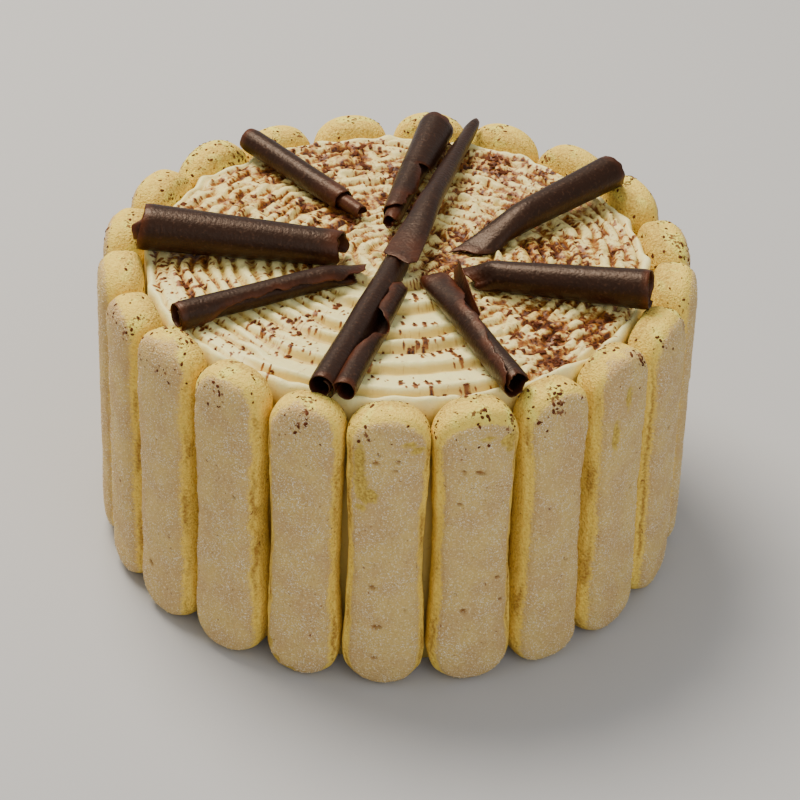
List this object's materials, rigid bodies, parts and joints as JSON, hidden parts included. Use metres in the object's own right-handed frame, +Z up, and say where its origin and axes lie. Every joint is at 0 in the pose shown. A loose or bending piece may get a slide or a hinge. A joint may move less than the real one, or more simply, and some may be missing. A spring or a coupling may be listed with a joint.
{
  "type": "tiramisu cake",
  "caption": "Round tiramisu charlotte: cream-topped cake inside a ring of upright ladyfingers, with dark chocolate curls laid on top like spokes.",
  "frame": {"origin": "centre of the cake's flat base", "axes": "+Z up through the cake, -Y towards the side that the picture shows, +X to its right"},
  "size_m": [0.2073, 0.2077, 0.1241],
  "materials": {
    "cream": "whipped mascarpone cream, matte to softly sheened, dusted with cocoa",
    "biscuit": "dry baked sponge biscuit with a sugared crown",
    "chocolate": "dark chocolate scraped into rolls, satin"
  },
  "bodies": {
    "root": {"cream_cake": "cream", "ladyfinger_01": "biscuit", "ladyfinger_02": "biscuit", "ladyfinger_03": "biscuit", "ladyfinger_04": "biscuit", "ladyfinger_05": "biscuit", "ladyfinger_06": "biscuit", "ladyfinger_07": "biscuit", "ladyfinger_08": "biscuit", "ladyfinger_09": "biscuit", "ladyfinger_10": "biscuit", "ladyfinger_11": "biscuit", "ladyfinger_12": "biscuit", "ladyfinger_13": "biscuit", "ladyfinger_14": "biscuit", "ladyfinger_15": "biscuit", "ladyfinger_16": "biscuit", "ladyfinger_17": "biscuit", "ladyfinger_18": "biscuit", "ladyfinger_19": "biscuit", "ladyfinger_20": "biscuit", "ladyfinger_21": "biscuit", "chocolate_curl_back_left": "chocolate", "chocolate_curl_left": "chocolate", "chocolate_curl_front_left": "chocolate", "chocolate_curl_front": "chocolate", "chocolate_curl_back": "chocolate", "chocolate_curl_back_middle": "chocolate", "chocolate_curl_right": "chocolate", "chocolate_curl_front_right": "chocolate", "chocolate_curl_front_middle": "chocolate"}
  },
  "joints": []
}
